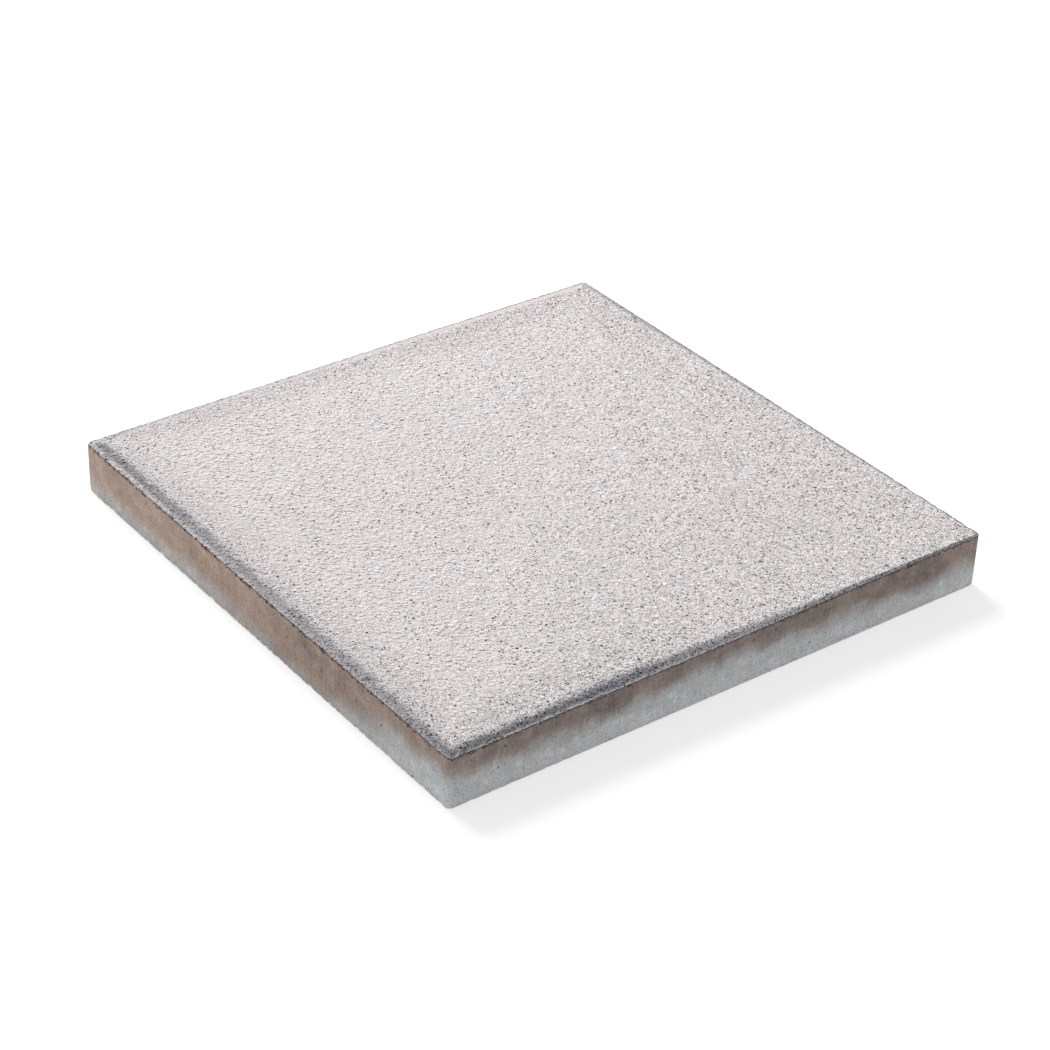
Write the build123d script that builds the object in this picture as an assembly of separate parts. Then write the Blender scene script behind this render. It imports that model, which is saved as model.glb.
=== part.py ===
from build123d import *
import os

# A square paving slab cast in one piece, in millimetres.
# The origin is the middle of the underside, +Z points up out of the walked-on face.
slab_width = 400.0
slab_depth = 400.0
slab_thickness = 38.0

# Seen from above, the four upright corners are slightly rounded.
corner_radius = 4.0

# Round the rim of the walked-on face a narrow flat land runs along the arris,
# and a shallow bevel climbs from it to the field.
land_width = 1.8
bevel_width = 8.0
bevel_drop = 3.0

# The bevel meets in mitres at the corners. Their upper ends are nearly sharp.
mitre_radius = 0.8

# Edges are eased: the arris by wear, the bevel's upper crease by the face mix, the bottom by the mould.
arris_ease = 0.6
crease_ease = 4.0
bottom_ease = 1.2

# Sizes that follow from the ones above.
side_height = slab_thickness - bevel_drop
foot_width = slab_width - 2 * land_width
foot_depth = slab_depth - 2 * land_width
foot_radius = corner_radius - land_width
field_width = foot_width - 2 * bevel_width
field_depth = foot_depth - 2 * bevel_width


def level_edges(solid, height):
    """The edges that lie all the way round at one height."""
    return solid.edges().filter_by_position(Axis.Z, height, height)


def make_block():
    """The upright-sided body, up to the land, with its eased arris and bottom edge."""
    block = extrude(RectangleRounded(slab_width, slab_depth, corner_radius), side_height)
    block = fillet(level_edges(block, side_height), arris_ease)
    block = fillet(level_edges(block, 0), bottom_ease)
    return block


def make_raised_face():
    """The bevelled top: a low frustum with mitred corners and a softened upper crease."""
    foot = Plane.XY.offset(side_height) * RectangleRounded(foot_width, foot_depth, foot_radius)
    field = Plane.XY.offset(slab_thickness) * RectangleRounded(field_width, field_depth, mitre_radius)
    raised = loft([foot, field])
    return fillet(level_edges(raised, slab_thickness), crease_ease)


paving_slab = make_block() + make_raised_face()

os.makedirs("parts", exist_ok=True)
export_step(paving_slab, "parts/paving_slab.step")
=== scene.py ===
import bpy
import math
import numpy as np
from mathutils import Matrix, Vector


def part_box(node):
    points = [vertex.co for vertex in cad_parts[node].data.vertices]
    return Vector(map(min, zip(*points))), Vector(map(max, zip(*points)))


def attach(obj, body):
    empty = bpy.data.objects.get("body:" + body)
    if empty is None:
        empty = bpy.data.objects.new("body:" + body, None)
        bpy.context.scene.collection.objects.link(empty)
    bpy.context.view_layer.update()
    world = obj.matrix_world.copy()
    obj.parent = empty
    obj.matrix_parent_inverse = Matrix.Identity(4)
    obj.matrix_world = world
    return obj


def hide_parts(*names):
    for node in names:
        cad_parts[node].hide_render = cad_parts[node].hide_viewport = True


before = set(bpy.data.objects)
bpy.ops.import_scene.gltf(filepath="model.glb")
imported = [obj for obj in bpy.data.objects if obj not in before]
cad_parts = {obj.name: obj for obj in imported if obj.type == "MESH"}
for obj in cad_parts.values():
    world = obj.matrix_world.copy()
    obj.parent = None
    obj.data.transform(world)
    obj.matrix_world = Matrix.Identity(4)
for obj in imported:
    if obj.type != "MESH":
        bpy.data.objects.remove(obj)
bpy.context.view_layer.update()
boxLow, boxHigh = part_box("paving_slab")
mm = 0.001
print("slab: the cast block is loaded")


# Helpers for node trees

def addNode(tree, kind, **settings):
    node = tree.nodes.new(kind)
    for name, value in settings.items():
        setattr(node, name, value)
    return node


def feed(tree, socket, value):
    # a value is another node's output, or a plain number, vector or colour
    if isinstance(value, bpy.types.NodeSocket):
        tree.links.new(value, socket)
    else:
        socket.default_value = value


def calc(tree, operation, *values, clamp=False):
    node = addNode(tree, "ShaderNodeMath", operation=operation, use_clamp=clamp)
    for socket, value in zip(node.inputs, values):
        feed(tree, socket, value)
    return node.outputs[0]


def vectorCalc(tree, operation, *values):
    node = addNode(tree, "ShaderNodeVectorMath", operation=operation)
    for socket, value in zip(node.inputs, values):
        feed(tree, socket, value)
    return node.outputs["Value" if operation == "DOT_PRODUCT" else "Vector"]


def product(tree, *values):
    total = values[0]
    for value in values[1:]:
        total = calc(tree, "MULTIPLY", total, value)
    return total


def weigh(tree, start, *terms):
    # start plus each value times its weight
    for value, weight in terms:
        start = calc(tree, "MULTIPLY_ADD", value, weight, start)
    return start


def sway(tree, value, amount, base):
    # base, moved up or down as the value lies above or below one half
    return calc(tree, "MULTIPLY_ADD", calc(tree, "SUBTRACT", value, 0.5), amount, base)


def between(tree, share, atNone, atFull):
    return calc(tree, "MULTIPLY_ADD", share, atFull - atNone, atNone)


def splitVector(tree, vector):
    node = addNode(tree, "ShaderNodeSeparateXYZ")
    feed(tree, node.inputs[0], vector)
    return node.outputs


def ease(tree, value, low, high, outLow=0.0, outHigh=1.0):
    # a smooth step from outLow to outHigh while value goes from low to high
    node = addNode(tree, "ShaderNodeMapRange", interpolation_type="SMOOTHSTEP")
    for name, number in (("Value", value), ("From Min", low), ("From Max", high),
                         ("To Min", outLow), ("To Max", outHigh)):
        feed(tree, node.inputs[name], number)
    return node.outputs["Result"]


def noise(tree, vector, scale, detail=2.0, roughness=0.5):
    node = addNode(tree, "ShaderNodeTexNoise")
    feed(tree, node.inputs["Vector"], vector)
    feed(tree, node.inputs["Scale"], scale)
    feed(tree, node.inputs["Detail"], detail)
    feed(tree, node.inputs["Roughness"], roughness)
    return node.outputs[0]


def cells(tree, vector, scale):
    # a point's distance from the middle of its cell, and two numbers that each cell has by chance
    node = addNode(tree, "ShaderNodeTexVoronoi")
    feed(tree, node.inputs["Vector"], vector)
    feed(tree, node.inputs["Scale"], scale)
    split = addNode(tree, "ShaderNodeSeparateColor" if tree.type == "SHADER" else "FunctionNodeSeparateColor")
    feed(tree, split.inputs[0], node.outputs["Color"])
    return node.outputs["Distance"], split.outputs[0], split.outputs[1]


smallestHole = 0.55      # the smallest hole's radius as a share of the one asked for, the largest has 1 more


def roundHole(tree, vector, spacing, radius, chance):
    # how deep a point lies in its cell's hole, from 0 to 1, and whether that cell has one
    far, pick, size = cells(tree, vector, calc(tree, "DIVIDE", 1.0, spacing))
    reach = calc(tree, "MULTIPLY", radius, calc(tree, "ADD", smallestHole, size))
    distance = calc(tree, "MULTIPLY", far, spacing)
    depth = calc(tree, "SUBTRACT", 1.0, calc(tree, "DIVIDE", distance, reach), clamp=True)
    return depth, calc(tree, "LESS_THAN", pick, chance)


def makeGroup(name, kind, inputs, outputs):
    # inputs and outputs are (name, socket type, default) and (name, socket type)
    tree = bpy.data.node_groups.new(name, kind)
    for label, socketType, default in inputs:
        socket = tree.interface.new_socket(name=label, in_out="INPUT", socket_type=socketType)
        if default is not None:
            socket.default_value = default
    for label, socketType in outputs:
        tree.interface.new_socket(name=label, in_out="OUTPUT", socket_type=socketType)
    return tree, addNode(tree, "NodeGroupInput").outputs, addNode(tree, "NodeGroupOutput").inputs


def linearTone(red, green, blue):
    # a colour written as it looks on screen, from 0 to 255, turned to the renderer's own scale
    def one(value):
        part = value / 255
        return part / 12.92 if part <= 0.04045 else ((part + 0.055) / 1.055) ** 2.4
    return (one(red), one(green), one(blue), 1.0)


# The slab's shape: a rim that follows the cast solid, a field of fine cells, sides and an underside

rim = {
    "cornerRadius": 4.0 * mm,
    "landWidth": 1.8 * mm,
    "bevelWidth": 9.5 * mm,
    "bevelDrop": 3.0 * mm,
    "arrisEase": 0.5 * mm,
    "bottomEase": 1.2 * mm,
    "mitreRadius": 0.8 * mm,
}

slabShape = {
    "cellsAcross": 256,
    "cellsBelow": 64,
    "bevelRings": 7,
    "sideRings": 10,
    "footTurns": (0, 30, 60, 90),    # degrees round the eased bottom edge, one loop each
    "arrisTurns": (0, 45, 90),       # the same round the eased arris
    "nickZone": 1.4 * mm,            # one loop this far under the arris, for its nicks
    "creaseRoll": 1.7,               # 1 is a straight bevel, more rolls over softly into the field
    "underMargin": 6.0 * mm,
    "stainShadeFull": 0.9,                # how strong the stain and painted shade are on the land
    "stainShadeReach": 1.7,               # how far in it runs, in bevel widths
}

# The face share, which finishes and relief read: 0 on the sides, these along the rim, and 1 in the field
faceAt = {"arris": 0.15, "land": 0.30, "bevel": 0.35}

# How the rim and sides change on their way round, all in hundredths. Place 0 is the left corner, 100 the
# front one, 200 the right one and 300 the back one. In the other rows 100 is the full size or strength.
rimTour = {
    "place":  (  0,  35,  62,  90, 100, 108, 130, 148, 165, 185, 200, 240, 295, 306, 330, 365, 395),
    "width":  ( 72,  86,  88,  88,  74,  54,  92,  66,  32,  18,  16,  45,  75,  90,  85,  75,  72),
    "drop":   (100, 100, 100, 100, 100, 100,  95,  85,  65,  45,  40,  50,  75,  90,  75,  80,  90),
    "land":   (200, 105,  55,  45,  45,  55,  60,  40,  25,  15,  20,  40,  60,  80,  70,  80, 110),
    # dark: how strong the bevel's stain and painted shade are, least on the side that faces the key lamp
    "dark":   ( 88,  92,  90,  78,  74,  90, 100,  90,  74,  72,  70,  42,  45,   0,   5,  12,  22),
    "skin":   (  0,   0,   0,   0,   0,   0,   0,   0,   0,   0,   0,   0,   0, 100,  80,  15,   0),
    "lip":    (100,  60,  20,  10,  15,  80,  55,  35,  10,   0,   0,   0,   0,  40,  50,  50,  50),
    "fade":   ( 60, 100,  96,  82,  40,  30,   5,  60,  75,  60,  50,  30,  50,  50,  50,  50,  50),
    # arris: how strong the nicks in the arris are, and the painted shade along it
    "arris":  ( 90, 100, 100, 100,  90,  90,  80,  60,  95, 100,  60,  25,  25,  50,  40,  40,  45),
    "ragged": ( 60,  60,  60,  50,  25,  20,  15,  15,  15,  15,  20,  40,  40,  50,  50,  55,  55),
    "deep":   (  0,  15,  50,  62,  72,  85,  98,  95,  95,  85,  75,  70,  60,  60,  62,  55,  12),
    "brown":  ( 74,  68,  98,  42,  44,  45,  50,  42,  42,  56,  54,  42,  50,  50,  50,  60,  70),
    # darkerGrey: how much darker the side's grey is, on the middle of the left-front side and on the side
    # that faces the key lamp
    "darkerGrey":  (  0,  20,  50,  22,  10,   5,   0,   0,   0,   0,   0,   0,  10,  40,  52,  48,  15),
}


def tourValue(name, place, blur=0.05):
    # the keyed values read at each place, with their kinks rounded off
    keys, values = np.array(rimTour["place"]) / 100, np.array(rimTour[name]) / 100
    shifts = (-blur, -blur / 2, 0.0, blur / 2, blur)
    return sum(np.interp(place + shift, keys, values, period=4.0) for shift in shifts) / len(shifts)


def ringPoints(place, inset, height, cornerInset, radius):
    # one loop round the slab, inset from its outline by an amount that may change on the way
    halfX, halfY = boxHigh.x, boxHigh.y
    side = np.floor(place).astype(int) % 4
    part = place - np.floor(place)
    start = cornerInset[side]
    end = cornerInset[(side + 1) % 4]
    alongX = -(halfX - start) + part * (2 * halfX - start - end)
    alongY = -(halfY - start) + part * (2 * halfY - start - end)
    x = np.choose(side, [alongX, halfX - inset, -alongX, -halfX + inset])
    y = np.choose(side, [-halfY + inset, alongY, halfY - inset, -alongY])
    # rounded upright corners
    edgeX, edgeY = halfX - inset, halfY - inset
    middleX = np.sign(x) * (edgeX - radius)
    middleY = np.sign(y) * (edgeY - radius)
    dx, dy = x - middleX, y - middleY
    beyond = (dx * np.sign(x) > 0) & (dy * np.sign(y) > 0)
    far = np.hypot(dx, dy)
    pull = np.where(beyond & (far > radius), radius / np.maximum(far, 1e-9), 1.0)
    z = np.broadcast_to(height, place.shape)
    return np.stack([middleX + dx * pull, middleY + dy * pull, z], axis=1)


def stainShadeAt(part):
    # how far the stain and painted shade hold: part is 0 on the land, 1 at the crease and more in the field
    return slabShape["stainShadeFull"] * np.maximum(1 - part / slabShape["stainShadeReach"], 0) ** 2


def slabRings():
    # every loop from the underside up to the crease, each with the shares that the relief and colours read
    count = 4 * slabShape["cellsAcross"]
    place = np.arange(count) * 4.0 / count
    corners = np.arange(4) * 1.0
    top = boxHigh.z
    arris, foot = rim["arrisEase"], rim["bottomEase"]

    def sizes(at):
        width = rim["bevelWidth"] * tourValue("width", at)
        drop = rim["bevelDrop"] * tourValue("drop", at)
        land = rim["landWidth"] * tourValue("land", at) + arris
        return width, drop, land

    rings = []
    here, atCorners = sizes(place), sizes(corners)
    bevelDrop = here[1]
    arrisLevel = top - bevelDrop - arris

    def addRing(insetOf, height, face, bevel):
        inset = insetOf(*here) + 0 * place
        radius = np.maximum(rim["cornerRadius"] - inset, rim["mitreRadius"])
        height = height + 0 * place
        points = ringPoints(place, inset, height, insetOf(*atCorners) + 0 * corners, radius)
        rings.append({"points": points, "face": face, "bevel": bevel,
                      "below": np.maximum(arrisLevel - height, 0)})

    for turn in slabShape["footTurns"]:
        angle = math.radians(turn)
        addRing(lambda width, drop, land: foot * (1 - math.sin(angle)), foot * (1 - math.cos(angle)),
                0.0, 1.0)
    steps = slabShape["sideRings"]
    for step in range(1, steps + 1):
        part = step / steps
        addRing(lambda width, drop, land: 0.0, foot + part * (arrisLevel - slabShape["nickZone"] - foot),
                0.0, 1.0)
    for turn in slabShape["arrisTurns"]:
        angle = math.radians(turn)
        addRing(lambda width, drop, land: arris * (1 - math.cos(angle)), arrisLevel + arris * math.sin(angle),
                faceAt["arris"] * turn / 90, 1.0)
    addRing(lambda width, drop, land: land, top - bevelDrop, faceAt["land"], slabShape["stainShadeFull"])
    rolls = slabShape["bevelRings"]
    for step in range(1, rolls + 1):
        part = step / rolls
        rise = 1 - (1 - part) ** slabShape["creaseRoll"]
        addRing(lambda width, drop, land: land + width * part, top - bevelDrop * (1 - rise),
                faceAt["bevel"] + (1 - faceAt["bevel"]) * part, stainShadeAt(part))
    return rings


def placeRound(points):
    # the place round the slab of any point, from the direction in which it lies
    x, y = points[:, 0] / boxHigh.x, points[:, 1] / boxHigh.y
    square = np.maximum(np.maximum(abs(x), abs(y)), 1e-9)
    x, y = x / square, y / square
    return np.where(y <= -1 + 1e-6, (x + 1) / 2, np.where(x >= 1 - 1e-6, 1 + (y + 1) / 2,
                    np.where(y >= 1 - 1e-6, 2 + (1 - x) / 2, 3 + (1 - y) / 2)))


def layFlat(mesh, points, corners, lengths, slots):
    # a flat layout of the faces: the top as it lies, the sides as strips, the underside small in a corner
    start, spread, gap, strip = 0.01, 0.78, 0.01, 0.085
    underLeft, underTop, underSpread = 0.805, 0.985, 0.18
    slot = np.repeat(slots, lengths)
    first = np.cumsum(lengths) - lengths
    middle = np.add.reduceat(points[corners], first, axis=0) / lengths[:, None]
    side = np.repeat(np.floor(placeRound(middle)).astype(int) % 4, lengths)
    x = points[corners][:, 0] / boxHigh.x / 2 + 0.5
    y = points[corners][:, 1] / boxHigh.y / 2 + 0.5
    z = points[corners][:, 2] / (2 * boxHigh.x)
    along = np.choose(side, [x, y, 1 - x, 1 - y])
    level = start + spread + gap + strip * (side // 2) + z * spread
    upright = side % 2 == 1
    u = np.where(upright, level, start + along * spread)
    v = np.where(upright, start + along * spread, level)
    u = np.where(slot == 0, start + x * spread, np.where(slot == 2, underLeft + x * underSpread, u))
    v = np.where(slot == 0, start + y * spread, np.where(slot == 2, underTop - y * underSpread, v))
    layer = mesh.uv_layers.new(name="OFBake")
    layer.data.foreach_set("uv", np.stack([u, v], axis=1).astype(np.float32).ravel())


def buildSlabMesh():
    n = slabShape["cellsAcross"]
    count = 4 * n
    rings = slabRings()
    points = [ring["points"] for ring in rings]
    faceShare = [np.full(count, ring["face"]) for ring in rings]
    bevelShare = [np.full(count, ring["bevel"]) for ring in rings]
    below = [ring["below"] for ring in rings]
    faces, sizes, slots = [], [], []

    def addFaces(corners, slot):
        faces.append(corners.reshape(-1))
        sizes.append(np.full(len(corners), corners.shape[1]))
        slots.append(np.full(len(corners), slot))

    here = np.arange(count)
    after = (here + 1) % count
    lastSideRing = len(slabShape["footTurns"]) + slabShape["sideRings"] + 1
    for k in range(len(rings) - 1):
        low, high = k * count, (k + 1) * count
        addFaces(np.stack([low + here, low + after, high + after, high + here], axis=1),
                 0 if k > lastSideRing else 1)

    # the field, spanned between the four stretches of the crease
    loop = rings[-1]["points"]
    loopBase = (len(rings) - 1) * count
    number = np.full((n + 1, n + 1), -1)
    u = np.linspace(0, 1, n + 1)
    front, right = loop[0:n + 1], loop[n:2 * n + 1]
    back = loop[2 * n:3 * n + 1][::-1]
    left = np.concatenate([loop[3 * n:], loop[:1]])[::-1]
    a, b = u[:, None, None], u[None, :, None]
    grid = (1 - b) * front[:, None] + b * back[:, None] + (1 - a) * left[None] + a * right[None]
    grid -= (1 - b) * ((1 - a) * front[0] + a * front[-1]) + b * (a * back[-1] + (1 - a) * back[0])
    number[:, 0] = loopBase + np.arange(0, n + 1)
    number[n, :] = loopBase + np.arange(n, 2 * n + 1)
    number[:, n] = loopBase + np.arange(3 * n, 2 * n - 1, -1)
    number[0, :] = loopBase + np.concatenate([[0], np.arange(4 * n - 1, 3 * n - 1, -1)])
    inner = number[1:n, 1:n]
    number[1:n, 1:n] = len(rings) * count + np.arange(inner.size).reshape(inner.shape)
    points.append(grid[1:n, 1:n].reshape(-1, 3))
    faceShare.append(np.ones(inner.size))
    inField = grid[1:n, 1:n].reshape(-1, 3)
    around = placeRound(inField)
    inset = boxHigh.x - np.max(abs(inField[:, :2]), axis=1) - rim["arrisEase"]
    inset -= rim["landWidth"] * tourValue("land", around)
    bevelShare.append(stainShadeAt(inset / (rim["bevelWidth"] * tourValue("width", around))))
    below.append(np.zeros(inner.size))
    addFaces(np.stack([number[:-1, :-1], number[1:, :-1], number[1:, 1:], number[:-1, 1:]], axis=-1)
             .reshape(-1, 4), 0)

    # the underside: coarse cells, joined to the fine loop by wider faces
    m = slabShape["cellsBelow"]
    step = n // m
    base = sum(len(p) for p in points)
    halfX = boxHigh.x - slabShape["underMargin"]
    halfY = boxHigh.y - slabShape["underMargin"]
    gx, gy = np.meshgrid(np.linspace(-halfX, halfX, m + 1), np.linspace(-halfY, halfY, m + 1), indexing="ij")
    under = np.stack([gx, gy, np.zeros_like(gx)], axis=-1).reshape(-1, 3)
    points.append(under)
    faceShare.append(np.full(len(under), -1.0))
    bevelShare.append(np.ones(len(under)))
    below.append(np.full(len(under), boxHigh.z))
    cell = base + np.arange((m + 1) ** 2).reshape(m + 1, m + 1)
    addFaces(np.stack([cell[:-1, :-1], cell[:-1, 1:], cell[1:, 1:], cell[1:, :-1]], axis=-1)
             .reshape(-1, 4), 2)
    outline = np.concatenate([cell[:m, 0], cell[m, :m], cell[m:0:-1, m], cell[0, m:0:-1]])
    k = np.arange(4 * m)
    wide = [k * step, outline[k], outline[(k + 1) % (4 * m)]]
    wide += [(k * step + step - back) % count for back in range(step)]
    addFaces(np.stack(wide, axis=1), 2)

    mesh = bpy.data.meshes.new("slabBlank")
    allPoints = np.concatenate(points)
    corners = np.concatenate(faces)
    lengths = np.concatenate(sizes)
    slotOf = np.concatenate(slots)
    mesh.vertices.add(len(allPoints))
    mesh.vertices.foreach_set("co", allPoints.astype(np.float32).ravel())
    mesh.loops.add(len(corners))
    mesh.loops.foreach_set("vertex_index", corners.astype(np.int32))
    mesh.polygons.add(len(lengths))
    mesh.polygons.foreach_set("loop_start", (np.cumsum(lengths) - lengths).astype(np.int32))
    mesh.polygons.foreach_set("material_index", slotOf.astype(np.int32))
    mesh.polygons.foreach_set("use_smooth", np.ones(len(lengths), bool))
    mesh.update(calc_edges=True)
    layFlat(mesh, allPoints, corners, lengths, slotOf)
    mesh.validate()

    def keep(name, values):
        mesh.attributes.new(name, "FLOAT", "POINT").data.foreach_set("value", values.astype(np.float32))

    shares = np.concatenate(faceShare)
    keep("faceShare", np.maximum(shares, 0))
    keep("underShare", np.maximum(-shares, 0))
    keep("bevelShare", np.concatenate(bevelShare))
    keep("belowArris", np.concatenate(below))
    around = placeRound(allPoints)
    keep("brownReach", boxHigh.z * (1 - tourValue("brown", around)))
    for name in ("dark", "skin", "lip", "fade", "arris", "ragged", "deep", "darkerGrey"):
        keep(name + "Share", tourValue(name, around))
    slab = bpy.data.objects.new("pavingSlab", mesh)
    bpy.context.scene.collection.objects.link(slab)
    return slab


# The relief: waves, lumps and pits on the face, drag lines on the sides, chips along the edges

relief = {
    "waveHeight": 0.35 * mm,
    "wavesPerMetre": 13.0,
    "lumpHeight": 0.30 * mm,
    "lumpsPerMetre": 125.0,
    "grainHeight": 0.95 * mm,
    "grainsPerMetre": 300.0,
    "pitDepth": 0.80 * mm,
    "pitSpacing": 8.5 * mm,
    "pitRadius": 1.0 * mm,
    "pitChance": 0.22,
    "dragHeight": 0.08 * mm,
    "dragsPerMetre": 330.0,
    "chipDepth": 1.0 * mm,
    "crumbsPerMetre": 170.0,
    "crumbShare": 1.6,
    "nicksPerMetre": 230.0,
    "underHeight": 0.9 * mm,
    "underPerMetre": 90.0,
    "skin": 0.03 * mm,       # all of the surface lies this far in, so that nothing stands past the cast block
}

chipping = {
    "broken": (0.44, 0.62),          # how much of the noise turns into chips
    "crumbZone": (0.5 * mm, 5.0 * mm),
    "nickZone": 1.8 * mm,
    "nickEnd": (0.15, 0.32),         # the nicks run out at these face shares
    "uprightStretch": 0.2,
}


def buildReliefTree():
    inputs = [("Geometry", "NodeSocketGeometry", None)]
    inputs += [(name, "NodeSocketFloat", value) for name, value in relief.items()]
    tree, given, result = makeGroup("slabRelief", "GeometryNodeTree", inputs,
                                    [("Geometry", "NodeSocketGeometry")])
    tree.is_modifier = True
    place = addNode(tree, "GeometryNodeInputPosition").outputs[0]
    normal = addNode(tree, "GeometryNodeInputNormal").outputs[0]

    def share(name):
        node = addNode(tree, "GeometryNodeInputNamedAttribute", data_type="FLOAT")
        node.inputs["Name"].default_value = name
        return node.outputs["Attribute"]

    face, under, below = share("faceShare"), share("underShare"), share("belowArris")
    height = splitVector(tree, place)[2]
    waves = product(tree, noise(tree, place, given["wavesPerMetre"]), given["waveHeight"])
    lumps = product(tree, noise(tree, place, given["lumpsPerMetre"], detail=1.0), given["lumpHeight"])
    grains = product(tree, noise(tree, place, given["grainsPerMetre"], detail=1.0, roughness=0.6),
                     given["grainHeight"])

    # round pits left by air, some of them missing so that they lie unevenly
    bowl, there = roundHole(tree, place, given["pitSpacing"], given["pitRadius"], given["pitChance"])
    pits = product(tree, bowl, there, given["pitDepth"])
    depth = weigh(tree, given["skin"], (waves, face), (lumps, face), (grains, face), (pits, face))

    # the sides are dragged smooth as the mould is drawn off them, in upright lines
    upright = vectorCalc(tree, "MULTIPLY", place, (1.0, 1.0, chipping["uprightStretch"]))
    drag = product(tree, noise(tree, upright, given["dragsPerMetre"], roughness=0.6), given["dragHeight"])
    onSide = calc(tree, "SUBTRACT", calc(tree, "SUBTRACT", 1.0, face, clamp=True), under, clamp=True)

    # crumbs missing from the bottom edge, and nicks along the arris
    crumb = noise(tree, place, given["crumbsPerMetre"], detail=4.0, roughness=0.70)
    low = ease(tree, height, *chipping["crumbZone"], 1.0, 0.0)
    lowChip = product(tree, ease(tree, crumb, *chipping["broken"]), low, calc(tree, "SUBTRACT", 1.0, under),
                      share("raggedShare"), given["crumbShare"])
    nick = noise(tree, place, given["nicksPerMetre"], detail=3.0, roughness=0.65)
    highChip = product(tree, ease(tree, nick, *chipping["broken"]),
                       ease(tree, below, 0.0, chipping["nickZone"], 1.0, 0.0),
                       ease(tree, face, *chipping["nickEnd"], 1.0, 0.0), share("arrisShare"))

    # a coarse, slightly open underside
    openFace = product(tree, noise(tree, place, given["underPerMetre"]), given["underHeight"])
    depth = weigh(tree, depth, (drag, onSide), (calc(tree, "ADD", lowChip, highChip), given["chipDepth"]),
                  (openFace, under))

    inward = vectorCalc(tree, "SCALE", normal)
    feed(tree, inward.node.inputs["Scale"], calc(tree, "MULTIPLY", depth, -1.0))
    move = addNode(tree, "GeometryNodeSetPosition")
    feed(tree, move.inputs["Geometry"], given["Geometry"])
    feed(tree, move.inputs["Offset"], inward)
    tree.links.new(move.outputs[0], result["Geometry"])
    return tree


def runTree(piece, tree, values):
    # puts the tree on the piece, sets its named inputs and turns the result into a plain mesh
    modifier = piece.modifiers.new(tree.name, "NODES")
    modifier.node_group = tree
    for item in tree.interface.items_tree:
        if item.item_type == "SOCKET" and item.in_out == "INPUT" and item.name in values:
            modifier[item.identifier] = values[item.name]
    bpy.context.view_layer.update()
    graph = bpy.context.evaluated_depsgraph_get()
    finished = bpy.data.meshes.new_from_object(piece.evaluated_get(graph), preserve_all_data_layers=True,
                                               depsgraph=graph)
    piece.modifiers.remove(modifier)
    old = piece.data
    piece.data = finished
    bpy.data.meshes.remove(old)
    return piece


# Shader groups that the slab's three finishes share

sandGrain = {
    "clumpScale": 0.5,               # clumps and grit, against the grains' own scale
    "gritScale": 2.2,
    "clumpHeight": 0.5,
    "domeEdge": 0.72,
    "lowest": 0.25,                  # the flattest grain's height as a share of the tallest one's
    "gapFrom": (0.44, 0.62),         # gaps begin this far from a grain's middle, round some of the grains
    "gapPick": (0.32, 0.52),
    "glintPick": (0.84, 0.93),       # which grains get a painted glint, and how much of each
    "glintSpot": (0.20, 0.45),
    "toneGrit": 0.4,
}

poreSoftness = 0.55      # how deep in a hole the mask is full


def buildSandGroup():
    # packed sand grains: their height, a tone for each grain, and masks for painted shade in the gaps between
    # them and for painted glints on some of them
    tree, given, result = makeGroup(
        "sandGrain", "ShaderNodeTree",
        [("Vector", "NodeSocketVector", None), ("grainSize", "NodeSocketFloat", 1.3 * mm),
         ("gritShare", "NodeSocketFloat", 0.4)],
        [("Height", "NodeSocketFloat"), ("Tone", "NodeSocketFloat"), ("Gap", "NodeSocketFloat"),
         ("Glint", "NodeSocketFloat")])
    scale = calc(tree, "DIVIDE", 1.0, given["grainSize"])
    clump = noise(tree, given["Vector"], calc(tree, "MULTIPLY", scale, sandGrain["clumpScale"]))
    grit = noise(tree, given["Vector"], calc(tree, "MULTIPLY", scale, sandGrain["gritScale"]), detail=3.0,
                 roughness=0.65)
    far, pick, tone = cells(tree, given["Vector"], scale)
    dome = ease(tree, far, 0.0, sandGrain["domeEdge"], 1.0, 0.0)
    tall = product(tree, dome, between(tree, pick, sandGrain["lowest"], 1.0))
    feed(tree, result["Height"], weigh(tree, tall, (grit, given["gritShare"]),
                                       (clump, sandGrain["clumpHeight"])))
    feed(tree, result["Tone"], weigh(tree, 0.0, (tone, 1 - sandGrain["toneGrit"]),
                                     (grit, sandGrain["toneGrit"])))
    feed(tree, result["Gap"], product(tree, ease(tree, far, *sandGrain["gapFrom"]),
                                      ease(tree, pick, *sandGrain["gapPick"], 1.0, 0.0)))
    feed(tree, result["Glint"], product(tree, ease(tree, pick, *sandGrain["glintPick"]),
                                        ease(tree, far, *sandGrain["glintSpot"], 1.0, 0.0)))
    return tree


def buildPoreGroup():
    # round holes left by air, spaced unevenly: a mask that is 1 deep in a hole
    tree, given, result = makeGroup(
        "airPores", "ShaderNodeTree",
        [("Vector", "NodeSocketVector", None), ("spacing", "NodeSocketFloat", 8.0 * mm),
         ("radius", "NodeSocketFloat", 1.0 * mm), ("chance", "NodeSocketFloat", 0.4)],
        [("Mask", "NodeSocketFloat")])
    depth, there = roundHole(tree, given["Vector"], given["spacing"], given["radius"], given["chance"])
    feed(tree, result["Mask"], product(tree, ease(tree, depth, 0.0, poreSoftness), there))
    return tree


def buildCloudGroup():
    # soft patches, from 0 to 1 about a middle of one half
    tree, given, result = makeGroup(
        "softCloud", "ShaderNodeTree",
        [("Vector", "NodeSocketVector", None), ("patchSize", "NodeSocketFloat", 60 * mm),
         ("contrast", "NodeSocketFloat", 1.0)],
        [("Value", "NodeSocketFloat")])
    scale = calc(tree, "DIVIDE", 1.0, given["patchSize"])
    patch = noise(tree, given["Vector"], scale, detail=4.0, roughness=0.55)
    centred = calc(tree, "SUBTRACT", patch, 0.5)
    feed(tree, result["Value"], calc(tree, "MULTIPLY_ADD", centred, given["contrast"], 0.5, clamp=True))
    return tree


def useGroup(tree, group, **values):
    node = addNode(tree, "ShaderNodeGroup", node_tree=group)
    for name, value in values.items():
        feed(tree, node.inputs[name], value)
    return node.outputs


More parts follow.
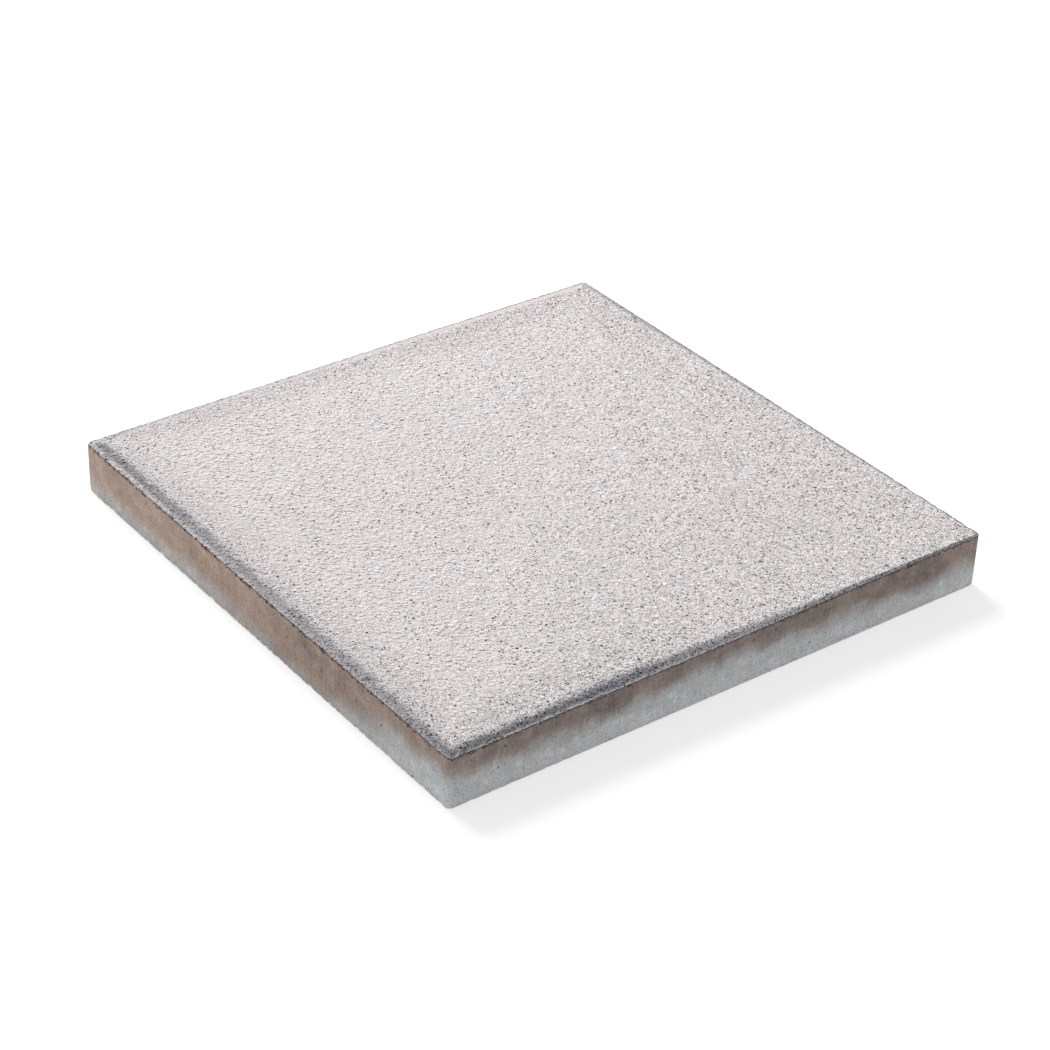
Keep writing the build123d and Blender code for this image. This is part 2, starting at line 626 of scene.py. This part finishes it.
def mixTone(tree, factor, first, second):
    node = addNode(tree, "ShaderNodeMix", data_type="RGBA", clamp_factor=True)
    feed(tree, node.inputs["Factor"], factor)
    feed(tree, node.inputs[6], first)
    feed(tree, node.inputs[7], second)
    return node.outputs[2]


stoneSpecular = 0.25


def startMaterial(name, roughness):
    material = bpy.data.materials.new(name)
    material.use_nodes = True
    tree = material.node_tree
    shader = tree.nodes["Principled BSDF"]
    shader.inputs["Roughness"].default_value = roughness
    shader.inputs["Specular IOR Level"].default_value = stoneSpecular
    where = addNode(tree, "ShaderNodeTexCoord").outputs["Object"]
    return material, tree, shader, where


def readShare(tree, name):
    return addNode(tree, "ShaderNodeAttribute", attribute_name=name).outputs["Fac"]


def addBump(tree, shader, height, distance):
    bump = addNode(tree, "ShaderNodeBump")
    feed(tree, bump.inputs["Height"], height)
    feed(tree, bump.inputs["Distance"], distance)
    tree.links.new(bump.outputs["Normal"], shader.inputs["Normal"])


# nicks along the arris, painted as shade on the land above it and on the side below it
arrisNicks = {"spacing": 2.8 * mm, "radius": 1.35 * mm, "chance": 0.75}

# In the face's finish the pairs for spread, gaps, glints, chances and bumps hold one value for closed sand
# and one for open sand. Pairs named From, To, Edge, Zone or Break hold where a change starts and ends.
faceFinish = {
    "pale": linearTone(245, 239, 239),
    "shade": linearTone(199, 193, 194),
    # gap and pit are painted shade, in the gaps between grains and in holes
    "gap": linearTone(70, 64, 66),
    "pitShade": linearTone(40, 36, 36),
    # glint is a painted highlight on some grains
    "glint": linearTone(255, 252, 251),
    # the bevel's stain, with painted shade
    "bevelStainShadePale": linearTone(146, 147, 156),
    "bevelStainShadeDark": linearTone(44, 46, 56),
    "bevelGapShade": linearTone(36, 36, 41),
    "skin": linearTone(184, 173, 170),
    # painted shade along the arris and in its nicks
    "arrisShadeLine": linearTone(72, 62, 62),
    "lip": linearTone(212, 209, 212),
    "roughness": 0.88,
    "drawAngle": math.radians(28),   # the way the face was struck off
    "drawOut": 1.8,                  # how far that drew the lumps out
    "openToward": (0.61, 0.79, 0.0),
    "openFrom": (-170 * mm, 150 * mm),
    "outlineZone": (45 * mm, 8 * mm),
    "outlineOpen": 0.6,
    "grains": {"grainSize": 1.0 * mm, "gritShare": 0.6},
    "lumps": {"grainSize": 2.0 * mm, "gritShare": 0.5},
    "broad": {"patchSize": 70 * mm, "contrast": 0.9},
    "small": {"patchSize": 9 * mm, "contrast": 1.0},
    "pitShare": 0.75,                # of the radius that the relief's pits have
    "pricks": {"spacing": 3.2 * mm, "radius": 0.72 * mm},
    "prickChance": (0.20, 0.42),
    "grit": {"spacing": 1.9 * mm, "radius": 0.52 * mm},
    "gritChance": (0.06, 0.56),
    "fineHoles": 0.90,
    # how much each of these adds to a grain's tone
    "toneStart": 0.3,
    "toneSpread": (0.60, 1.25),
    "toneBroad": 0.25,
    "toneSmall": 0.15,
    "toneOpen": 0.40,
    # painted shade towards the outline
    "outlineShade": -0.10,
    "grainGaps": (0.18, 0.78),
    "lumpGaps": (0.10, 0.30),
    "glints": (0.28, 0.63),
    # the stain of the bevel, with painted shade
    "stainShadeGrain": 0.7,
    "stainShadeSmall": 0.5,
    "stainShadeByDark": 0.45,
    "stainShadeEdge": (0.10, 0.42),
    "stainShadeLeast": 0.30,
    "stainShadeNone": 0.12,
    "fadeEdge": (0.35, 0.80),
    "fadeShare": (0.50, 0.32),
    # bands along the rim, as face shares, and how patches and grains break them up
    "landFrom": (0.10, 0.18),
    "landTo": (0.28, 0.42),
    "nickEdge": (0.17, 0.26),
    "lineEdge": (0.19, 0.26),
    "lipGrain": (0.15, 0.40),
    "lipBreak": (0.38, 0.52),
    "lipLeast": 0.35,
    "skinSmall": 0.3,
    "skinEdge": (0.30, 0.60),
    # heights in the bump
    "grainBump": (0.60, 0.95),
    "lumpBump": (2.0, 1.1),
    "holeBump": 0.8,
    "skinBump": 0.25,
    "bumpHeight": 1.12 * mm,
}


def buildFaceMaterial(sand, pores, cloud):
    look = faceFinish
    material, tree, shader, where = startMaterial("sandyFace", look["roughness"])
    turn = addNode(tree, "ShaderNodeVectorRotate", rotation_type="Z_AXIS")
    feed(tree, turn.inputs["Vector"], where)
    feed(tree, turn.inputs["Angle"], -look["drawAngle"])
    drawn = vectorCalc(tree, "MULTIPLY", turn.outputs[0], (1 / look["drawOut"], 1.0, 1.0))
    grains = useGroup(tree, sand, Vector=where, **look["grains"])
    lumps = useGroup(tree, sand, Vector=drawn, **look["lumps"])
    broad = useGroup(tree, cloud, Vector=where, **look["broad"])["Value"]
    small = useGroup(tree, cloud, Vector=where, **look["small"])["Value"]
    face, bevel = readShare(tree, "faceShare"), readShare(tree, "bevelShare")
    dark, skin = readShare(tree, "darkShare"), readShare(tree, "skinShare")

    # the sand lies more open towards one corner and along the edges
    across = vectorCalc(tree, "DOT_PRODUCT", where, look["openToward"])
    x, y = splitVector(tree, where)[:2]
    out = calc(tree, "MAXIMUM", calc(tree, "ABSOLUTE", x), calc(tree, "ABSOLUTE", y))
    towardCorner = ease(tree, across, *look["openFrom"])
    nearOutline = ease(tree, out, *(boxHigh.x - depth for depth in look["outlineZone"]),
                       0.0, look["outlineOpen"])
    coarse = calc(tree, "ADD", towardCorner, nearOutline, clamp=True)

    def byCoarse(name):
        return between(tree, coarse, *look[name])

    # each grain has its own tone, over soft patches, with painted shade towards the outline
    tone = sway(tree, grains["Tone"], byCoarse("toneSpread"), look["toneStart"])
    tone = weigh(tree, tone, (broad, look["toneBroad"]), (small, look["toneSmall"]),
                 (towardCorner, look["toneOpen"]), (nearOutline, look["outlineShade"]))
    colour = mixTone(tree, tone, look["shade"], look["pale"])
    # painted shade in the gaps between grains and between lumps
    gaps = calc(tree, "MAXIMUM", product(tree, grains["Gap"], byCoarse("grainGaps")),
                product(tree, lumps["Gap"], byCoarse("lumpGaps")))
    colour = mixTone(tree, gaps, colour, look["gap"])

    # the bevel is darkened by a stain and by painted shade, and the darkening breaks up into single grains
    # towards the field
    stainAndShade = mixTone(tree, tone, look["bevelStainShadeDark"], look["bevelStainShadePale"])
    # painted shade in the gaps of the bevel
    stainAndShade = mixTone(tree, grains["Gap"], stainAndShade, look["bevelGapShade"])
    broken = sway(tree, grains["Tone"], look["stainShadeGrain"], bevel)
    broken = sway(tree, small, look["stainShadeSmall"], broken)
    broken = weigh(tree, broken, (calc(tree, "SUBTRACT", dark, 1.0), look["stainShadeByDark"]))
    faded = product(tree, ease(tree, face, *look["fadeEdge"], *look["fadeShare"]),
                    readShare(tree, "fadeShare"))
    stainedAndShaded = product(tree, ease(tree, broken, *look["stainShadeEdge"]),
                      calc(tree, "ADD", dark, look["stainShadeLeast"], clamp=True),
                      ease(tree, dark, 0.0, look["stainShadeNone"]), calc(tree, "SUBTRACT", 1.0, faded))
    colour = mixTone(tree, stainedAndShaded, colour, stainAndShade)

    # a smooth skin of cement covers part of the bevel, with a painted shade line at its outer edge
    covered = weigh(tree, bevel, (small, look["skinSmall"]))
    smooth = product(tree, ease(tree, covered, *look["skinEdge"]), skin)
    colour = mixTone(tree, smooth, colour, look["skin"])

    # a pale, broken lip of cement along the land, and painted shade in the nicks in the arris
    onLand = product(tree, ease(tree, face, *look["landFrom"]), ease(tree, face, *look["landTo"], 1.0, 0.0))
    lipMask = product(tree, onLand, readShare(tree, "lipShare"),
                      ease(tree, grains["Tone"], *look["lipGrain"]),
                      ease(tree, small, *look["lipBreak"], look["lipLeast"], 1.0))
    colour = mixTone(tree, lipMask, colour, look["lip"])
    nicks = product(tree, useGroup(tree, pores, Vector=where, **arrisNicks)["Mask"],
                    ease(tree, face, *look["nickEdge"], 1.0, 0.0), readShare(tree, "arrisShare"))
    arrisShadeLine = product(tree, ease(tree, face, *look["lineEdge"], 1.0, 0.0), skin)
    colour = mixTone(tree, calc(tree, "MAXIMUM", nicks, arrisShadeLine), colour, look["arrisShadeLine"])

    # painted glints on some grains, and painted shade in holes of three sizes
    colour = mixTone(tree, product(tree, grains["Glint"], byCoarse("glints")), colour, look["glint"])
    pits = useGroup(tree, pores, Vector=where, spacing=relief["pitSpacing"],
                    radius=relief["pitRadius"] * look["pitShare"], chance=relief["pitChance"])["Mask"]
    pricks = useGroup(tree, pores, Vector=where, chance=byCoarse("prickChance"), **look["pricks"])["Mask"]
    grit = useGroup(tree, pores, Vector=where, chance=byCoarse("gritChance"), **look["grit"])["Mask"]
    fineHoles = product(tree, calc(tree, "MAXIMUM", pricks, grit), look["fineHoles"])
    hole = product(tree, calc(tree, "MAXIMUM", pits, fineHoles), calc(tree, "SUBTRACT", 1.0, smooth))
    colour = mixTone(tree, hole, colour, look["pitShade"])
    tree.links.new(colour, shader.inputs["Base Color"])

    height = weigh(tree, 0.0, (grains["Height"], byCoarse("grainBump")),
                   (lumps["Height"], byCoarse("lumpBump")), (hole, -look["holeBump"]))
    height = product(tree, height, between(tree, smooth, 1.0, look["skinBump"]))
    addBump(tree, shader, height, look["bumpHeight"])
    return material


sideFinish = {
    "brown": linearTone(200, 176, 161),
    "brownDark": linearTone(138, 117, 105),
    "deepBrown": linearTone(154, 141, 134),
    # deepDarkGapShade is the darkest deep brown, and also the painted shade in the gaps between grains
    "deepDarkGapShade": linearTone(82, 71, 68),
    "greyMilky": linearTone(205, 200, 196),
    "greyMilkyDark": linearTone(160, 155, 151),
    "grey": linearTone(216, 218, 219),
    "greyDark": linearTone(164, 169, 171),
    "bloom": linearTone(236, 237, 238),
    # darkerGrey is a darker grey for places keyed round the slab
    "darkerGrey": linearTone(126, 118, 113),
    # poreShade is painted shade in holes
    "poreShade": linearTone(74, 66, 63),
    "fleck": linearTone(230, 226, 220),
    # painted shade under the arris and in its nicks
    "arris": linearTone(64, 58, 57),
    "roughness": 0.82,
    "grains": {"grainSize": 1.0 * mm, "gritShare": 0.7},
    "broad": {"patchSize": 34 * mm, "contrast": 1.8},
    "blotch": {"patchSize": 11 * mm, "contrast": 1.8},
    "fine": {"patchSize": 2.0 * mm, "contrast": 1.8},
    "bloomPatch": {"patchSize": 7 * mm, "contrast": 2.0},
    "drag": {"patchSize": 1.5 * mm, "contrast": 1.8},
    "dragStretch": 0.08,
    "holes": {"spacing": 9 * mm, "radius": 0.75 * mm, "chance": 0.40},
    "flecks": {"spacing": 12 * mm, "radius": 0.8 * mm, "chance": 0.12},
    "boundary": 8.5 * mm,            # half the height over which brown turns to grey
    "boundaryBroad": 14 * mm,        # how far patches of each size move that boundary
    "boundaryBlotch": 7 * mm,
    "boundaryFine": 5 * mm,
    "brownStart": -0.268,            # how much each of these adds to the brown's tone
    "brownBlotch": 0.62,
    "brownFine": 0.35,
    "brownGrain": 0.30,
    "brownDrag": 0.32,
    "brownPatchy": 0.55,
    "greyDrag": 0.40,                # and to the grey's
    "greyBlotch": 0.40,
    "greyFine": 0.20,
    "milkyEnd": 0.35,
    "bloomFrom": (0.50, 0.85),
    "bloomShare": 0.4,
    "footZone": (2 * mm, 15 * mm),
    "gapShare": 0.35,
    "holeShare": 0.85,
    "fleckShare": 0.7,
    # where the painted shade line under the arris and in its nicks lies
    "lineZone": (0.2 * mm, 0.65 * mm),
    "lineWaver": 1.2 * mm,
    "lineShare": 0.90,
    "nickZone": (0.9 * mm, 2.2 * mm),
    "grainBump": 0.5,
    "dragBump": 0.35,
    "bumpHeight": 0.4 * mm,
}


def buildSideMaterial(sand, pores, cloud):
    look = sideFinish
    material, tree, shader, where = startMaterial("mouldedSide", look["roughness"])
    height = splitVector(tree, where)[2]
    upright = vectorCalc(tree, "MULTIPLY", where, (1.0, 1.0, look["dragStretch"]))
    drag = useGroup(tree, cloud, Vector=upright, **look["drag"])["Value"]
    broad, blotch, fine, bloom = (useGroup(tree, cloud, Vector=where, **look[name])["Value"]
                                  for name in ("broad", "blotch", "fine", "bloomPatch"))
    grains = useGroup(tree, sand, Vector=where, **look["grains"])
    holes, flecks, nicks = (useGroup(tree, pores, Vector=where, **kind)["Mask"]
                            for kind in (look["holes"], look["flecks"], arrisNicks))
    deep = readShare(tree, "deepShare")

    # brown above and grey below, with a soft mottled boundary
    level = sway(tree, broad, look["boundaryBroad"], height)
    level = sway(tree, blotch, look["boundaryBlotch"], level)
    level = sway(tree, fine, look["boundaryFine"], level)
    above = calc(tree, "SUBTRACT", level, readShare(tree, "brownReach"))
    brownShare = ease(tree, above, -look["boundary"], look["boundary"])

    mottle = weigh(tree, look["brownStart"], (blotch, look["brownBlotch"]), (fine, look["brownFine"]),
                   (grains["Tone"], look["brownGrain"]), (drag, look["brownDrag"]))
    light = mixTone(tree, mottle, look["brownDark"], look["brown"])
    heavy = mixTone(tree, mottle, look["deepDarkGapShade"], look["deepBrown"])
    brown = mixTone(tree, sway(tree, broad, look["brownPatchy"], deep), light, heavy)

    # the grey is milkier where the brown is light, with white bloom in patches, and it is paler towards the
    # foot where the deep share is high
    milky = weigh(tree, 0.0, (drag, look["greyDrag"]), (blotch, look["greyBlotch"]), (fine, look["greyFine"]))
    cleaner = mixTone(tree, milky, look["greyMilkyDark"], look["greyMilky"])
    grey = mixTone(tree, milky, look["greyDark"], look["grey"])
    grey = mixTone(tree, ease(tree, deep, 0.0, look["milkyEnd"]), cleaner, grey)
    grey = mixTone(tree, ease(tree, bloom, *look["bloomFrom"], 0.0, look["bloomShare"]), grey, look["bloom"])
    footPaling = product(tree, ease(tree, height, *look["footZone"], look["bloomShare"], 0.0), deep)
    grey = mixTone(tree, footPaling, grey, look["bloom"])
    # darker grey where the keyed share is high, on the left-front side's middle and the side that faces the
    # key lamp
    grey = mixTone(tree, readShare(tree, "darkerGreyShare"), grey, look["darkerGrey"])

    colour = mixTone(tree, brownShare, grey, brown)
    # painted shade in the gaps between grains and in holes
    colour = mixTone(tree, product(tree, grains["Gap"], look["gapShare"]), colour, look["deepDarkGapShade"])
    colour = mixTone(tree, product(tree, holes, look["holeShare"]), colour, look["poreShade"])
    colour = mixTone(tree, product(tree, flecks, look["fleckShare"]), colour, look["fleck"])

    # painted shade along the arris and in its nicks
    below = readShare(tree, "belowArris")
    line = ease(tree, sway(tree, fine, look["lineWaver"], below), *look["lineZone"], look["lineShare"], 0.0)
    nicks = product(tree, nicks, ease(tree, below, *look["nickZone"], 1.0, 0.0))
    arrisShade = product(tree, calc(tree, "MAXIMUM", line, nicks), readShare(tree, "arrisShare"))
    colour = mixTone(tree, arrisShade, colour, look["arris"])
    tree.links.new(colour, shader.inputs["Base Color"])

    bumps = weigh(tree, 0.0, (grains["Height"], look["grainBump"]), (drag, look["dragBump"]), (holes, -1.0))
    addBump(tree, shader, bumps, look["bumpHeight"])
    return material


underFinish = {
    "grey": linearTone(186, 183, 179),
    "dark": linearTone(142, 138, 134),
    "dusty": linearTone(196, 192, 186),
    # poreShade is painted shade in the gaps between grains and in holes
    "poreShade": linearTone(84, 80, 76),
    "roughness": 0.92,
    "grains": {"grainSize": 1.5 * mm, "gritShare": 0.9},
    "lumps": {"grainSize": 4.0 * mm, "gritShare": 0.6},
    "broad": {"patchSize": 60 * mm, "contrast": 1.8},
    "small": {"patchSize": 9 * mm, "contrast": 1.8},
    "wideHoles": {"spacing": 13 * mm, "radius": 2.2 * mm, "chance": 0.35},
    "holes": {"spacing": 5 * mm, "radius": 0.9 * mm, "chance": 0.55},
    "toneBroad": 0.4,
    "toneSmall": 0.3,
    "toneGrain": 0.4,
    "dustFrom": (0.45, 0.95),
    "dustShare": 0.7,
    "gapShare": 0.25,
    "holeShare": 0.8,
    "lumpBump": 0.8,
    "bumpHeight": 1.0 * mm,
}


def buildUnderMaterial(sand, pores, cloud):
    look = underFinish
    material, tree, shader, where = startMaterial("openUnderside", look["roughness"])
    grains, lumps = (useGroup(tree, sand, Vector=where, **look[name]) for name in ("grains", "lumps"))
    broad, small = (useGroup(tree, cloud, Vector=where, **look[name])["Value"] for name in ("broad", "small"))
    wide, narrow = (useGroup(tree, pores, Vector=where, **look[name])["Mask"]
                    for name in ("wideHoles", "holes"))
    holes = calc(tree, "MAXIMUM", wide, narrow)
    tone = weigh(tree, 0.0, (broad, look["toneBroad"]), (small, look["toneSmall"]),
                 (grains["Tone"], look["toneGrain"]))
    colour = mixTone(tree, tone, look["dark"], look["grey"])
    dust = ease(tree, broad, *look["dustFrom"], 0.0, look["dustShare"])
    colour = mixTone(tree, dust, colour, look["dusty"])
    # painted shade in the gaps between grains and in holes
    colour = mixTone(tree, product(tree, grains["Gap"], look["gapShare"]), colour, look["poreShade"])
    colour = mixTone(tree, product(tree, holes, look["holeShare"]), colour, look["poreShade"])
    tree.links.new(colour, shader.inputs["Base Color"])
    bumps = weigh(tree, grains["Height"], (lumps["Height"], look["lumpBump"]), (holes, -1.0))
    addBump(tree, shader, bumps, look["bumpHeight"])
    return material


def buildSlab():
    slab = buildSlabMesh()
    print("slab: the blank has", len(slab.data.polygons), "faces")
    runTree(slab, buildReliefTree(), relief)
    slab.data.name = "pavingSlab"
    print("slab: relief is on")
    sand, pores, cloud = buildSandGroup(), buildPoreGroup(), buildCloudGroup()
    for build in (buildFaceMaterial, buildSideMaterial, buildUnderMaterial):
        slab.data.materials.append(build(sand, pores, cloud))
    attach(slab, "root")
    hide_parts("paving_slab")
    return slab


# Floor, lamps and camera

studio = {
    "floorSize": 12.0,
    "floorGlow": 0.55,       # the share of the floor's white that no shadow dims, to the camera alone
    "glowLift": 1.08,
    "floorBounce": 0.90,
    "keyPower": 238.0,
    "keySize": 2.6,
    "keyDirection": (-0.97, 0.04, 0.87),
    "keyDistance": 4.5,
    "worldStrength": 0.62,
}

cameraView = {
    "azimuth": 52.25,        # degrees, 0 looks along +Y
    "elevation": 32.61,
    "roll": 2.17,
    "distance": 4.449,       # these three in slab widths
    "right": 0.0018,
    "up": 0.0175,
    "focalShare": 2820 / 1050,   # focal length as a share of the picture's width
    "filmWidth": 36.0,
    "farthest": 50.0,
}


def seenDirectly(tree):
    # 1 for what the camera, a reflection or clear glass shows, 0 for light on its way between things
    path = addNode(tree, "ShaderNodeLightPath")
    seen = calc(tree, "MAXIMUM", path.outputs["Is Camera Ray"], path.outputs["Is Glossy Ray"])
    return calc(tree, "MAXIMUM", seen, path.outputs["Is Transmission Ray"])


def buildFloor():
    half = studio["floorSize"] / 2
    mesh = bpy.data.meshes.new("floor")
    level = boxLow.z - 0.1 * mm
    mesh.from_pydata([(-half, -half, level), (half, -half, level), (half, half, level), (-half, half, level)],
                     [], [(0, 1, 2, 3)])
    floor = bpy.data.objects.new("floor", mesh)
    bpy.context.scene.collection.objects.link(floor)
    material = bpy.data.materials.new("paleFloor")
    material.use_nodes = True
    tree = material.node_tree
    shader = tree.nodes["Principled BSDF"]
    shader.inputs["Roughness"].default_value = 1.0
    shader.inputs["Specular IOR Level"].default_value = 0.0
    seen = seenDirectly(tree)
    bounce, glow = studio["floorBounce"], studio["floorGlow"]
    tree.links.new(mixTone(tree, seen, (bounce, bounce, bounce, 1.0), (1 - glow, 1 - glow, 1 - glow, 1.0)),
                   shader.inputs["Base Color"])
    shader.inputs["Emission Color"].default_value = (1.0, 1.0, 1.0, 1.0)
    strength = calc(tree, "MULTIPLY", seen, glow * studio["glowLift"])
    tree.links.new(strength, shader.inputs["Emission Strength"])
    mesh.materials.append(material)


def addLamp(name, power, size, direction, distance):
    light = bpy.data.lights.new(name, "AREA")
    light.shape = "DISK"
    light.size = size
    light.energy = power
    lamp = bpy.data.objects.new(name, light)
    toward = Vector(direction).normalized()
    lamp.location = toward * distance
    lamp.rotation_euler = toward.to_track_quat("Z", "Y").to_euler()
    bpy.context.scene.collection.objects.link(lamp)


def buildLight():
    addLamp("keyLamp", studio["keyPower"], studio["keySize"], studio["keyDirection"], studio["keyDistance"])
    world = bpy.data.worlds.new("studioWorld")
    bpy.context.scene.world = world
    world.use_nodes = True
    tree = world.node_tree
    background = tree.nodes["Background"]
    background.inputs["Color"].default_value = (1.0, 1.0, 1.0, 1.0)
    strength = between(tree, seenDirectly(tree), studio["worldStrength"], 1.0)
    tree.links.new(strength, background.inputs["Strength"])


def buildCamera():
    width = 2 * boxHigh.x
    azimuth, elevation = math.radians(cameraView["azimuth"]), math.radians(cameraView["elevation"])
    roll = math.radians(cameraView["roll"])
    backward = Vector((math.sin(azimuth) * math.cos(elevation), -math.cos(azimuth) * math.cos(elevation),
                       math.sin(elevation)))
    level = Vector((0, 0, 1)).cross(backward).normalized()
    upright = backward.cross(level)
    right = math.cos(roll) * level + math.sin(roll) * upright
    up = -math.sin(roll) * level + math.cos(roll) * upright
    place = (backward * cameraView["distance"] + right * cameraView["right"] + up * cameraView["up"]) * width
    lens = bpy.data.cameras.new("camera")
    lens.sensor_width = cameraView["filmWidth"]
    lens.lens = cameraView["filmWidth"] * cameraView["focalShare"]
    lens.clip_end = cameraView["farthest"]
    camera = bpy.data.objects.new("camera", lens)
    turn = Matrix((right, up, backward)).transposed().to_4x4()
    camera.matrix_world = Matrix.Translation(place) @ turn
    bpy.context.scene.collection.objects.link(camera)
    bpy.context.scene.camera = camera


buildCamera()
buildSlab()
buildFloor()
buildLight()
bpy.context.scene.view_settings.view_transform = "Standard"
bpy.context.view_layer.update()
print("slab: the scene is lit and framed")
